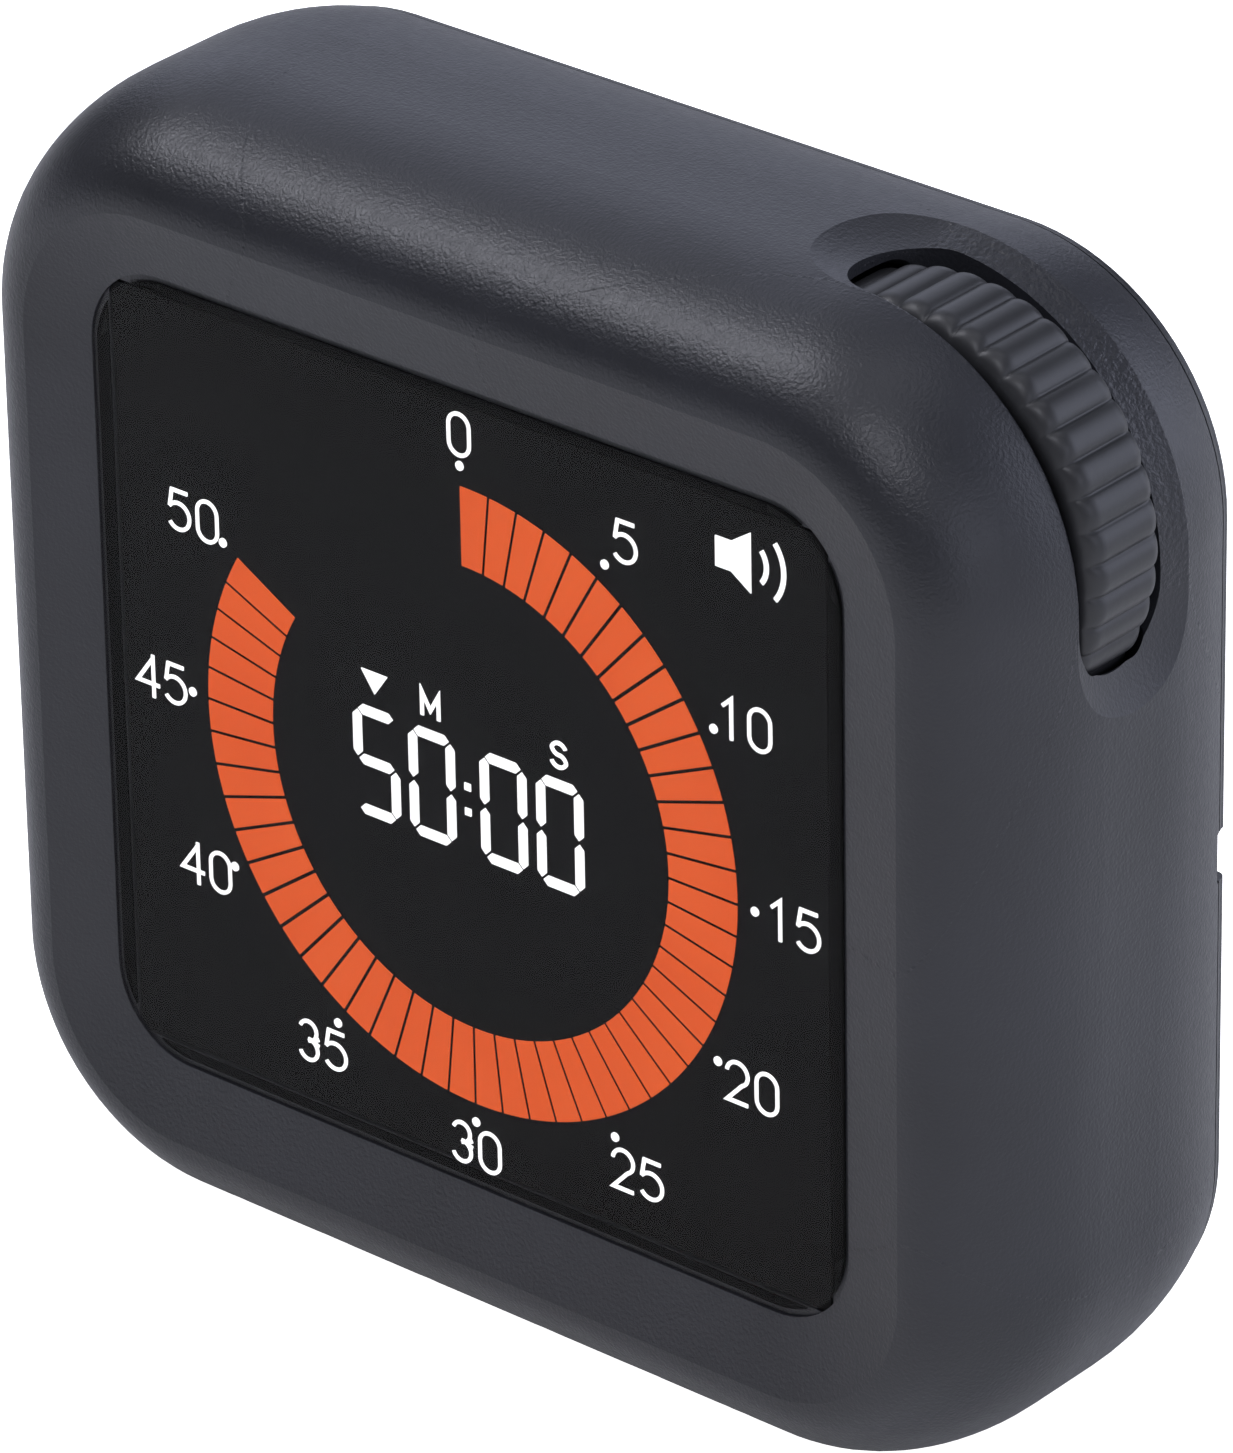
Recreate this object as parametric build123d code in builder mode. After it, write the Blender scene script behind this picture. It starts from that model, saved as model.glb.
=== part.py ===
"""Square kitchen timer with a corner thumbwheel: casing, display, electronics and moving parts.

Millimetres. +X is to the right of someone facing the display, the display looks along -Y, +Z is up.
The origin is the middle of the flat strip that the timer stands on.
"""
import os
from math import cos, radians, sin, sqrt

from build123d import *

# ---------------------------------------------------------------- driving dimensions
BODY_W = 82.0  # across the widest outline
BODY_H = 77.7
BODY_D = 25.7
MID_Z = BODY_H / 2
FRONT_Y = -BODY_D / 2
BACK_Y = BODY_D / 2
CORNER_R = 16.9  # of the widest outline, seen from the front
WALL = 2.0
FIT = 0.15  # gap between pieces that are assembled and stay put

ROUND_DEPTH = 11.35  # front roundover, along Y
ROUND_IN = 6.5  # front roundover, inward from the widest outline
WIDEST_Y = FRONT_Y + ROUND_DEPTH
FLAT_END_Y = 4.2  # the outline is straight from WIDEST_Y to here
TAPER_R = 20.2  # long arc that draws the outline in towards the back
SEAM_Y = 11.72
SEAM_GAP = 0.16
RIM_Y = 12.25  # the rounded back edge starts here

DISPLAY_Z = 39.3  # height of the window's middle and of the layers behind it
WINDOW_W = 59.6  # of the opening in the bezel
WINDOW_H = 55.2
WINDOW_R = 5.85
BEZEL_DEEP_Y = FRONT_Y + 1.15  # the bezel has sloped back this far at the window's edge
GLASS_W = 59.1
GLASS_H = 54.5
GLASS_R = 5.6
GLASS_Y = FRONT_Y + 0.95
GLASS_T = 0.3
TAPE_T = 0.15
LEDGE_Y = GLASS_Y + GLASS_T + TAPE_T
LEDGE_BACK_Y = -8.75
LCD_W = 56.4
LCD_H = 52.4

WHEEL_X = 27.7
WHEEL_Z = 63.15
WHEEL_R = 14.0
WHEEL_FRONT_Y = -3.2
WHEEL_BACK_Y = 3.4
WELL_R = WHEEL_R + 0.4
RIB_COUNT = 40
SLOT_FRONT_Y = -3.7
SLOT_BACK_Y = 4.7
SLOT_END_X = 21.4
SLOT_END_Z = 55.9
SCOOP_MID_Y = 1.5
SCOOP_HALF = 5.7
SCOOP_DEEP = 1.0
SCOOP_END_X = 18.2
SCOOP_END_Z = 53.0
PRESS_TRAVEL = 0.6

PCB_FRONT_Y = -5.3
PCB_BACK_Y = -4.3
COVER_IN_Y = 10.3  # front face of the rear cover's plate

CELL_R = 5.2
CELL_L = 44.5
CELL_Y = 5.5
CELL_LOW_Z = 12.3
CELL_HIGH_Z = 23.5
BAY_X = 24.4
BAY_Z0 = 6.6
BAY_Z1 = 29.2
BAY_WALL = 1.2
BAY_FRONT_Y = 0.1

DOOR_X = 26.2
DOOR_TOP_Z = 31.4
DOOR_T = 1.6
HINGE_Y = BACK_Y - DOOR_T / 2
HINGE_Z = 5.9
DOOR_GAP = 0.25

MINUTE_DEG = 6
LIT_MINUTES = 50
DOT_RING_R = 22.62
BAR_IN_R = 15.95
BAR_OUT_R = 21.26
INK_BACK_Y = GLASS_Y + GLASS_T + 0.12
INK_T = 0.08

SCREW_SPOTS = [(-31.5, 9.2), (31.5, 9.2), (-31.5, 68.5), (0.0, 71.6), (34.4, 33.4)]
BOARD_SPOTS = [(-33.0, 69.3), (-33.0, 8.4), (33.0, 8.4), (-8.0, 71.9)]
MAGNET_SPOTS = [(-31.5, 21.0), (31.5, 21.0), (-24.0, 58.5), (24.0, 58.5)]
BUZZER_Z = 45.5
SWITCH_Z = 63.0
SWITCH_POST_Z = 66.9
FOOT_X = 18.0
FOOT_L = 10.0
FOOT_W = 7.0
FOOT_T = 0.8

os.makedirs("parts", exist_ok=True)


def save(block, label):
    """Names a finished piece and writes it to its own file."""
    block.part.label = label
    export_step(block.part, f"parts/{label}.step")


def facing(y):
    """Plane across the depth at y, seen from the front: a positive extrusion comes forward."""
    return Plane.XZ.offset(-y)


def slab(width, height, corner, y_front, y_back):
    """A rounded rectangle about the display's centre, from y_front back to y_back."""
    with BuildPart() as piece:
        with BuildSketch(facing(y_back)):
            with Locations((0, DISPLAY_Z)):
                RectangleRounded(width, height, corner)
        extrude(amount=y_back - y_front)
    return piece


def discs(spots, radius, y_front, y_back):
    """Round plugs along Y at each (x, z) spot."""
    with BuildPart() as piece:
        with BuildSketch(facing(y_back)):
            with Locations(*spots):
                Circle(radius)
        extrude(amount=y_back - y_front)
    return piece


def block(x0, x1, y0, y1, z0, z1):
    """A plain box between two corners."""
    with BuildPart() as piece:
        with Locations(((x0 + x1) / 2, (y0 + y1) / 2, (z0 + z1) / 2)):
            Box(x1 - x0, y1 - y0, z1 - z0)
    return piece


def press_frame(y):
    """Plane at depth y on the wheel's axis: local x is the way the wheel springs out, to the corner.

    Local y runs down to the right, and the normal points back.
    """
    return Plane(origin=(WHEEL_X, y, WHEEL_Z), x_dir=(1, 0, 1), z_dir=(0, 1, 0))


# ---------------------------------------------------------------- outer form
def outline_profile(inset, back_y, rounded_back):
    """Half-section of the casing beside a corner's axis: local x is the radius, local y is the depth.

    An elliptical roundover at the front, a straight stretch, then a long arc towards the back.
    """
    widest_r = CORNER_R - inset
    front_y = FRONT_Y + inset
    taper_r = TAPER_R - inset
    arc_end_y = RIM_Y if rounded_back else back_y
    end_r = CORNER_R - TAPER_R + sqrt(taper_r**2 - (arc_end_y - FLAT_END_Y) ** 2)
    edge = back_y - arc_end_y
    roundover_centre = (CORNER_R - ROUND_IN, WIDEST_Y)
    with BuildLine() as outline:
        EllipticalCenterArc(roundover_centre, ROUND_IN - inset, ROUND_DEPTH - inset, 270, arc_size=90)
        Line((widest_r, WIDEST_Y), (widest_r, FLAT_END_Y))
        TangentArc((widest_r, FLAT_END_Y), (end_r, arc_end_y), tangent=(0, 1))
        if rounded_back:
            crown = (end_r - edge * 0.32, arc_end_y + edge * 0.72)
            ThreePointArc((end_r, arc_end_y), crown, (end_r - edge, back_y))
        Polyline((end_r - edge, back_y), (0, back_y), (0, front_y), (CORNER_R - ROUND_IN, front_y))
    return outline.line


def pebble(inset, back_y, rounded_back=False):
    """The casing's form offset inward by inset: its section goes round each corner and along each side."""
    corner_x = BODY_W / 2 - CORNER_R
    corner_z = BODY_H - CORNER_R
    front_y = FRONT_Y + inset
    profile = outline_profile(inset, back_y, rounded_back)
    axis_point = (corner_x, 0, corner_z)
    with BuildPart() as form:
        with BuildSketch(Plane(origin=axis_point, x_dir=(1, 0, 0), z_dir=(0, 0, 1))) as side:
            make_face(profile.edges())
        revolve(axis=Axis(axis_point, (0, -1, 0)), revolution_arc=90)
        extrude(side.sketch, amount=-(corner_z - MID_Z))
        with BuildSketch(Plane(origin=axis_point, x_dir=(0, 0, 1), z_dir=(-1, 0, 0))) as top:
            make_face(profile.edges())
        extrude(top.sketch, amount=corner_x)
        with BuildSketch(facing(back_y)):
            with Locations((0, MID_Z)):
                Rectangle(corner_x, corner_z - MID_Z, align=(Align.MIN, Align.MIN))
        extrude(amount=back_y - front_y)
        mirror(about=Plane.YZ)
        mirror(about=Plane.XY.offset(MID_Z))
    return form


def finger_scoop():
    """Cutter for the shallow dish behind the thumbwheel: a fat ring round the corner with round ends."""
    section_r = (SCOOP_HALF**2 + SCOOP_DEEP**2) / (2 * SCOOP_DEEP)
    lift = section_r - SCOOP_DEEP
    corner_x = BODY_W / 2 - CORNER_R
    corner_z = BODY_H - CORNER_R
    top = (SCOOP_END_X + SCOOP_HALF, SCOOP_MID_Y, BODY_H + lift)
    bend_top = (corner_x, SCOOP_MID_Y, BODY_H + lift)
    bend_side = (BODY_W / 2 + lift, SCOOP_MID_Y, corner_z)
    side = (BODY_W / 2 + lift, SCOOP_MID_Y, SCOOP_END_Z + SCOOP_HALF)
    with BuildPart() as cutter:
        with BuildLine() as route:
            Line(top, bend_top)
            TangentArc(bend_top, bend_side, tangent=(1, 0, 0))
            Line(bend_side, side)
        with BuildSketch(Plane(origin=top, z_dir=(1, 0, 0))):
            Circle(section_r)
        sweep(path=route.line)
        with Locations(top, side):
            Sphere(section_r)
    return cutter


def wheel_well():
    """Room for the tyre to turn in, rounded like the tyre's shoulders."""
    with BuildPart() as well:
        add(discs([(WHEEL_X, WHEEL_Z)], WELL_R, WHEEL_FRONT_Y - 0.3, WHEEL_BACK_Y + 0.35).part)
        fillet(well.edges().filter_by(GeomType.CIRCLE), 1.6)
    return well


def wheel_slot():
    """Cutter for the slot through the wall: open round the corner, rounded at each end."""
    half = (SLOT_BACK_Y - SLOT_FRONT_Y) / 2
    mid_y = (SLOT_BACK_Y + SLOT_FRONT_Y) / 2
    beyond = 6.0
    turn_x = SLOT_END_X + half
    turn_z = SLOT_END_Z + half
    through = 12.0
    with BuildPart() as cutter:
        add(block(turn_x, BODY_W / 2 + beyond, SLOT_FRONT_Y, SLOT_BACK_Y, turn_z, BODY_H + beyond).part)
        with BuildSketch(Plane.XY.offset(BODY_H - through)):
            with Locations((turn_x, mid_y)):
                Circle(half)
        extrude(amount=through + beyond)
        with BuildSketch(Plane.YZ.offset(BODY_W / 2 - through)):
            with Locations((mid_y, turn_z)):
                Circle(half)
        extrude(amount=through + beyond)
        add(wheel_well().part)
    return cutter


def pry_notch():
    """The small gap in the back edge where a fingernail lifts the rear cover."""
    return block(BODY_W / 2 - 3.6, BODY_W / 2 + 1, SEAM_Y - 0.25, BACK_Y + 1, MID_Z - 2.2, MID_Z + 1.2)


def feet(grow, top_z, bottom_z=0.0):
    """Two rounded pads side by side under the casing; with grow, the pockets they sit in."""
    mid_y = (WIDEST_Y + FLAT_END_Y) / 2
    with BuildPart() as pads:
        with BuildSketch(Plane.XY.offset(bottom_z)):
            with Locations((-FOOT_X, mid_y), (FOOT_X, mid_y)):
                RectangleRounded(FOOT_L + grow, FOOT_W + grow, 2.0)
        extrude(amount=top_z - bottom_z)
    return pads


def guide_spots():
    """Where the carriage guide is screwed down, as (x, z)."""
    centres = [press_frame(0).from_local_coords((-5.0, side * 17.5)) for side in (-1, 1)]
    return [(centre.X, centre.Z) for centre in centres]


def posts(spots, radius, hole_r, y_front, y_back, rib_length=0, rib_angles=()):
    """Screw posts along Y; where rib_angles are given, each has a rib running out to the wall."""
    rib_width = 1.6
    hole_deep = min(8.0, y_back - y_front)
    with BuildPart() as piece:
        add(discs(spots, radius, y_front, y_back).part)
        for (x, z), angle in zip(spots, rib_angles):
            with BuildSketch(facing(y_back)):
                with Locations(Location((x, z, 0), (0, 0, angle))):
                    Rectangle(rib_length, rib_width, align=(Align.MIN, Align.CENTER))
            extrude(amount=y_back - y_front)
        add(discs(spots, hole_r, y_back - hole_deep, y_back).part, mode=Mode.SUBTRACT)
    return piece


# ---------------------------------------------------------------- casing
def make_front_housing():
    """Front shell: roundover, sloped bezel, window seat, thumbwheel slot and scoop, screw posts."""
    guide_ribs = [90, 0] if guide_spots()[0][0] < guide_spots()[1][0] else [0, 90]
    with BuildPart() as hollow:
        add(pebble(WALL, SEAM_Y).part)
        split(bisect_by=facing(LEDGE_BACK_Y), keep=Keep.BOTTOM)
    with BuildPart() as housing:
        add(pebble(0, SEAM_Y).part)
        add(finger_scoop().part, mode=Mode.SUBTRACT)
        add(hollow.part, mode=Mode.SUBTRACT)
        with BuildSketch(facing(FRONT_Y)):
            with Locations((0, MID_Z)):
                RectangleRounded(BODY_W - 2 * ROUND_IN, BODY_H - 2 * ROUND_IN, CORNER_R - ROUND_IN)
        with BuildSketch(facing(BEZEL_DEEP_Y)):
            with Locations((0, DISPLAY_Z)):
                RectangleRounded(WINDOW_W, WINDOW_H, WINDOW_R)
        loft(mode=Mode.SUBTRACT)
        add(slab(WINDOW_W, WINDOW_H, WINDOW_R, BEZEL_DEEP_Y - 0.2, LEDGE_Y).part, mode=Mode.SUBTRACT)
        add(slab(LCD_W + 0.4, LCD_H + 0.4, 1.0, LEDGE_Y, LEDGE_BACK_Y + 1).part, mode=Mode.SUBTRACT)
        add(wheel_slot().part, mode=Mode.SUBTRACT)
        add(pry_notch().part, mode=Mode.SUBTRACT)
        add(feet(0.1, FOOT_T, -1.0).part, mode=Mode.SUBTRACT)
        add(posts(BOARD_SPOTS, 2.3, 0.8, LEDGE_BACK_Y - 0.4, PCB_FRONT_Y).part)
        add(posts(SCREW_SPOTS, 2.5, 0.85, 1.0, COVER_IN_Y - FIT, 4.9, [225, 315, 135, 90, 0]).part)
        add(posts(guide_spots(), 2.2, 0.75, -1.0, 5.0, 4.2, guide_ribs).part)
    return housing


def make_rear_cover():
    """Back plate with its rim, battery bay, buzzer chamber, magnet pockets and switch opening."""
    lip_y = SEAM_Y + SEAM_GAP
    bay_out_x = BAY_X + BAY_WALL
    door_floor_y = BACK_Y - DOOR_T - 0.1
    knuckle = DOOR_T / 2
    with BuildPart() as plug:
        add(pebble(WALL + FIT, RIM_Y).part)
        split(bisect_by=facing(COVER_IN_Y), keep=Keep.BOTTOM)
    with BuildPart() as cover:
        add(pebble(0, BACK_Y, rounded_back=True).part)
        split(bisect_by=facing(lip_y), keep=Keep.BOTTOM)
        add(plug.part)
        bay_z = (BAY_Z0 - BAY_WALL, BAY_Z1 + BAY_WALL)
        add(block(-bay_out_x, bay_out_x, BAY_FRONT_Y - BAY_WALL, COVER_IN_Y + 0.5, *bay_z).part)
        add(discs([(0, BUZZER_Z)], 11.6, 7.2, COVER_IN_Y + 0.5).part)
        add(discs([(-5.6, SWITCH_POST_Z), (5.6, SWITCH_POST_Z)], 1.6, 6.6, COVER_IN_Y + 0.5).part)
        cuts = [
            block(-BAY_X, BAY_X, BAY_FRONT_Y, BACK_Y + 1, BAY_Z0, BAY_Z1),
            block(
                -DOOR_X - DOOR_GAP, DOOR_X + DOOR_GAP, door_floor_y, BACK_Y + 1,
                HINGE_Z - knuckle - DOOR_GAP, DOOR_TOP_Z + DOOR_GAP,
            ),
            block(-5, 5, BACK_Y - 0.8, BACK_Y + 1, DOOR_TOP_Z, DOOR_TOP_Z + 2.0),
            discs([(0, BUZZER_Z)], 9.4, 8.1, COVER_IN_Y),
            discs([(0, BUZZER_Z)], 10.4, 7.0, 8.1),
            discs(SCREW_SPOTS, 1.15, COVER_IN_Y - 1, BACK_Y + 1),
            discs(SCREW_SPOTS, 2.4, BACK_Y - 1.2, BACK_Y + 1),
            discs(MAGNET_SPOTS, 4.55, BACK_Y - 1.7, BACK_Y + 1),
            discs([(-5.6, SWITCH_POST_Z), (5.6, SWITCH_POST_Z)], 0.6, 6.0, COVER_IN_Y),
            pry_notch(),
        ]
        for cut in cuts:
            add(cut.part, mode=Mode.SUBTRACT)
        with BuildSketch(facing(BACK_Y + 1)):
            with Locations((0, BUZZER_Z)):
                Circle(0.7)
                with PolarLocations(3.6, 6):
                    Circle(0.7)
            with Locations((0, SWITCH_Z)):
                RectangleRounded(8.6, 3.2, 0.6)
        extrude(amount=4, mode=Mode.SUBTRACT)
        with BuildSketch(facing(BACK_Y)):
            with Locations((0, SWITCH_Z)):
                RectangleRounded(12.0, 5.4, 1.6)
        extrude(amount=0.9, mode=Mode.SUBTRACT)
        with BuildSketch(Plane.YZ.offset(-27.8)):
            with Locations((HINGE_Y, HINGE_Z)):
                Circle(0.5)
        extrude(amount=55.6, mode=Mode.SUBTRACT)
    return cover


def make_battery_door():
    """Door plate that turns on two short pins at its bottom edge; grooves near the top for a thumb."""
    knuckle = DOOR_T / 2
    with BuildPart() as door:
        with BuildSketch(facing(BACK_Y)):
            with Locations((0, (HINGE_Z + DOOR_TOP_Z) / 2)):
                Rectangle(2 * DOOR_X, DOOR_TOP_Z - HINGE_Z)
        extrude(amount=DOOR_T)
        with BuildSketch(Plane.YZ.offset(-DOOR_X)):
            with Locations((HINGE_Y, HINGE_Z)):
                Circle(knuckle)
        extrude(amount=2 * DOOR_X)
        with BuildSketch(Plane.YZ.offset(-DOOR_X - 1.2)):
            with Locations((HINGE_Y, HINGE_Z)):
                Circle(0.45)
        extrude(amount=2 * DOOR_X + 2.4)
        with BuildSketch(facing(BACK_Y)):
            with Locations((0, DOOR_TOP_Z - 3.6)):
                with GridLocations(0, 1.3, 1, 4):
                    SlotOverall(11.0, 0.6)
        extrude(amount=0.4, mode=Mode.SUBTRACT)
    return door


# ---------------------------------------------------------------- display
def rear_sheet(y_front, y_back):
    """A layer behind the front glass: shorter at the bottom, where the contact strip passes."""
    with BuildPart() as sheet:
        with BuildSketch(facing(y_back)):
            with Locations((0, DISPLAY_Z + 1.3)):
                RectangleRounded(LCD_W, LCD_H - 2.6, 0.4)
        extrude(amount=y_back - y_front)
    return sheet


def make_display():
    """The stack behind the window, front to back, and the frame that holds it to the board."""
    save(slab(GLASS_W, GLASS_H, GLASS_R, GLASS_Y, GLASS_Y + GLASS_T), "display_window")
    with BuildPart() as tape:
        add(slab(GLASS_W - 0.2, GLASS_H - 0.2, GLASS_R, GLASS_Y + GLASS_T, LEDGE_Y).part)
        add(slab(LCD_W + 0.6, LCD_H + 0.6, 1.0, GLASS_Y, LEDGE_Y + 1).part, mode=Mode.SUBTRACT)
    save(tape, "window_tape")
    face_y = LEDGE_Y
    save(slab(LCD_W, LCD_H, 0.4, face_y, face_y + 0.2), "front_polariser")
    save(slab(LCD_W, LCD_H, 0.4, face_y + 0.2, face_y + 1.1), "lcd_front_glass")
    layer_y = face_y + 1.1
    layers = [
        ("lcd_rear_glass", 0.9),
        ("rear_polariser", 0.2),
        ("colour_film", 0.15),
        ("diffuser_sheet", 0.15),
        ("light_guide", 3.0),
        ("reflector_sheet", 0.15),
    ]
    for label, thickness in layers:
        save(rear_sheet(layer_y, layer_y + thickness), label)
        layer_y += thickness
    strip_z = DISPLAY_Z - LCD_H / 2
    save(block(-26, 26, face_y + 1.1, PCB_FRONT_Y, strip_z + 0.15, strip_z + 2.15), "contact_strip")
    led_spots = (-16, 0, 16)
    led_z = DISPLAY_Z + LCD_H / 2 + 0.35
    with BuildPart() as leds:
        for spot in led_spots:
            add(block(spot - 1.5, spot + 1.5, -7.6, -6.2, led_z, led_z + 1.0).part)
    save(leds, "backlight_leds")
    with BuildPart() as frame:
        add(slab(LCD_W + 4.6, LCD_H + 4.4, 2.0, LEDGE_BACK_Y + 0.05, PCB_FRONT_Y).part)
        add(slab(LCD_W + 0.4, LCD_H + 0.4, 0.6, LEDGE_BACK_Y - 1, PCB_FRONT_Y + 1).part, mode=Mode.SUBTRACT)
        for spot in led_spots:
            add(block(spot - 1.6, spot + 1.6, -7.7, -6.1, led_z - 1, led_z + 1.1).part, mode=Mode.SUBTRACT)
    save(frame, "backlight_frame")


def ink(sketch, label):
    """Turns flat artwork, drawn about the dial's centre, into a thin film behind the window."""
    with BuildPart() as film:
        with BuildSketch(facing(INK_BACK_Y)):
            with Locations((0, MID_Z)):
                add(sketch)
        extrude(amount=INK_T)
    save(film, label)


NUMERAL_W = 1.62  # stroke centre to stroke centre
NUMERAL_H = 2.74
STROKE = 0.26
FOUR_STEM = 0.42  # the upright of the 4, right of the numeral's middle


def numeral_lines(digit):
    """Pen lines of one numeral in a box NUMERAL_W by NUMERAL_H about the origin."""
    w = NUMERAL_W / 2
    h = NUMERAL_H / 2
    bowl = w
    with BuildLine() as pen:
        if digit == "0":
            straight = h - bowl
            Line((-w, -straight), (-w, straight))
            ThreePointArc((-w, straight), (0, h), (w, straight))
            Line((w, straight), (w, -straight))
            ThreePointArc((w, -straight), (0, -h), (-w, -straight))
        elif digit == "1":
            Polyline((-0.55, h - 0.62), (0.12, h), (0.12, -h))
        elif digit == "2":
            ThreePointArc((-w, h - bowl + 0.1), (0, h), (w, h - bowl))
            TangentArc((w, h - bowl), (w - 0.45, -0.12), tangent=(0, -1))
            Polyline((w - 0.45, -0.12), (-w, -h), (w, -h))
        elif digit == "3":
            CenterArc((0, h - 0.68), 0.68, -90, 250)
            CenterArc((0, -h + 0.74), 0.74, -160, 250)
        elif digit == "4":
            Polyline((FOUR_STEM, h - 0.1), (-w - 0.1, -0.55), (w + 0.12, -0.55))
        else:
            Polyline((w - 0.1, h), (-w + 0.22, h), (-w, 0.18))
            ThreePointArc((-w, 0.18), (w, -h + 0.92), (-w - 0.02, -h + 0.5))
    return pen.line


def make_graphics():
    """What the display shows: a ring of minute bars, the dial's numerals and dots, time and volume."""
    lit_arc = LIT_MINUTES * MINUTE_DEG
    gap = 0.24
    with BuildSketch() as bars:
        Circle(BAR_OUT_R)
        Circle(BAR_IN_R, mode=Mode.SUBTRACT)
        with BuildLine():
            reach = BAR_OUT_R + 2
            start = (reach * sin(radians(lit_arc)), reach * cos(radians(lit_arc)))
            Polyline((0, 0), start, (-reach * 1.2, reach * 1.2), (0, reach), (0, 0))
        make_face(mode=Mode.SUBTRACT)
        for minute in range(1, LIT_MINUTES):
            turn = 90 - minute * MINUTE_DEG
            with Locations(Location((0, 0, 0), (0, 0, turn))):
                Rectangle(reach, gap, align=(Align.MIN, Align.CENTER), mode=Mode.SUBTRACT)
    ink(bars.sketch, "minute_bars")

    stops = range(0, LIT_MINUTES + 1, 5)
    with BuildSketch() as dots:
        for minute in stops:
            turn = radians(minute * MINUTE_DEG)
            with Locations((DOT_RING_R * sin(turn), DOT_RING_R * cos(turn))):
                Circle(0.31)
    ink(dots.sketch, "dial_dots")

    pitch = 2.3
    nudge = {
        5: (0.25, 0.1), 15: (0.2, 0), 20: (0.26, 0.1), 25: (0.36, -0.3),
        30: (-0.08, 0.24), 35: (0, -0.34), 40: (0, 0.17), 45: (0.2, 0),
    }
    with BuildSketch() as numerals:
        for minute in stops:
            turn = radians(minute * MINUTE_DEG)
            across, up = nudge.get(minute, (0, 0))
            centre = (25.4 * sin(turn) + across, 24.7 * cos(turn) + up)
            text = str(minute)
            for place, digit in enumerate(text):
                shift = (place - (len(text) - 1) / 2) * pitch
                with Locations((centre[0] + shift, centre[1])):
                    add(trace_pen(digit))
    ink(numerals.sketch, "dial_numerals")

    ink(time_digits().sketch, "time_digits")
    ink(speaker_icon().sketch, "speaker_icon")


def trace_pen(digit):
    """A numeral's pen lines given their width; the 5's stem and bowl are separate strokes."""
    edges = numeral_lines(digit).edges()
    runs = [edges[:2], edges[2:]] if digit == "5" else [edges]
    with BuildSketch() as stroke:
        for run in runs:
            trace(run, line_width=STROKE)
        if digit == "4":
            with Locations((FOUR_STEM, 0)):
                Rectangle(STROKE, NUMERAL_H + STROKE)
    return stroke.sketch


def segment(length, width):
    """One bar of a seven-segment digit, pointed at both ends."""
    half = length / 2
    side = width / 2
    with BuildSketch() as bar:
        with BuildLine():
            Polyline(
                (-half, 0), (-half + side, side), (half - side, side),
                (half, 0), (half - side, -side), (-half + side, -side), close=True,
            )
        make_face()
    return bar.sketch


def time_digits():
    """Minutes and seconds in seven-segment digits, a colon, a marker and the letters M and S."""
    digit_x = (-7.38, -2.87, 2.88, 7.39)
    across = 3.02  # between the centre lines of the upright bars
    rise = 3.45  # from the middle bar to the top one
    bar_w = 0.7
    level_l = 2.8
    upright_l = 3.2
    lit = {"5": "afgcd", "0": "abcdef"}
    places = {
        "a": (0, rise, 0), "d": (0, -rise, 0), "g": (0, 0, 0),
        "b": (across / 2, rise / 2, 90), "c": (across / 2, -rise / 2, 90),
        "e": (-across / 2, -rise / 2, 90), "f": (-across / 2, rise / 2, 90),
    }
    with BuildSketch() as face:
        for centre_x, digit in zip(digit_x, "5000"):
            for name in lit[digit]:
                x, z, turn = places[name]
                with Locations(Location((centre_x + x, z, 0), (0, 0, turn))):
                    add(segment(upright_l if turn else level_l, bar_w))
        with Locations((0, 0.86), (0, -0.86)):
            Rectangle(0.5, 0.5)
        with BuildLine():
            Polyline((-8.44, 6.3), (-6.32, 6.3), (-7.38, 4.8), (-8.44, 6.3))
        make_face()
        with BuildLine() as minutes_letter:
            Polyline((-3.54, 4.65), (-3.54, 6.28), (-2.87, 5.15), (-2.21, 6.28), (-2.21, 4.65))
        trace(minutes_letter.line.edges(), line_width=0.27)
        with BuildLine() as seconds_letter:
            ThreePointArc((7.93, 5.98), (7.39, 6.31), (6.85, 5.92))
            ThreePointArc((6.85, 5.92), (7.0, 5.66), (7.39, 5.5))
            ThreePointArc((7.39, 5.5), (7.82, 5.34), (7.97, 5.05))
            ThreePointArc((7.97, 5.05), (7.39, 4.67), (6.81, 5.03))
        trace(seconds_letter.line.edges(), line_width=0.27)
    return face


def speaker_icon():
    """Loudspeaker with two waves, at the top right of the display."""
    with BuildSketch() as icon:
        with BuildLine():
            Polyline(
                (19.9, 24.25), (21.1, 24.25), (22.6, 25.25), (22.6, 21.25),
                (21.1, 22.25), (19.9, 22.25), close=True,
            )
        make_face()
        for radius, half_turn in ((1.64, 40), (2.95, 39)):
            with BuildLine() as wave:
                CenterArc((22.15, 23.25), radius, -half_turn, 2 * half_turn)
            trace(wave.line.edges(), line_width=0.34)
    return icon


# ---------------------------------------------------------------- main board
def make_board():
    """Circuit board behind the display, its screws and the parts on its back face."""
    with BuildPart() as board:
        add(slab(73.0, 68.8, 12.5, PCB_FRONT_Y, PCB_BACK_Y).part)
        add(discs(BOARD_SPOTS, 1.1, PCB_FRONT_Y - 1, PCB_BACK_Y + 1).part, mode=Mode.SUBTRACT)
    save(board, "main_board")
    save(screws(BOARD_SPOTS, 1.9, 0.75, PCB_BACK_Y, 1.0, 3.0), "board_screws")
    save(block(-20, -10, PCB_BACK_Y, PCB_BACK_Y + 1.5, 40, 50), "microcontroller")
    chip_spots = [(-27, 52), (-27, 48), (-27, 44), (-5, 56), (-9, 56), (-24, 36), (-18, 36)]
    with BuildPart() as chips:
        for x, z in chip_spots:
            add(block(x - 1.0, x + 1.0, PCB_BACK_Y, PCB_BACK_Y + 0.9, z - 0.65, z + 0.65).part)
        add(block(-31, -29, PCB_BACK_Y, PCB_BACK_Y + 2.0, 56, 62).part)
    save(chips, "board_parts")


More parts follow.
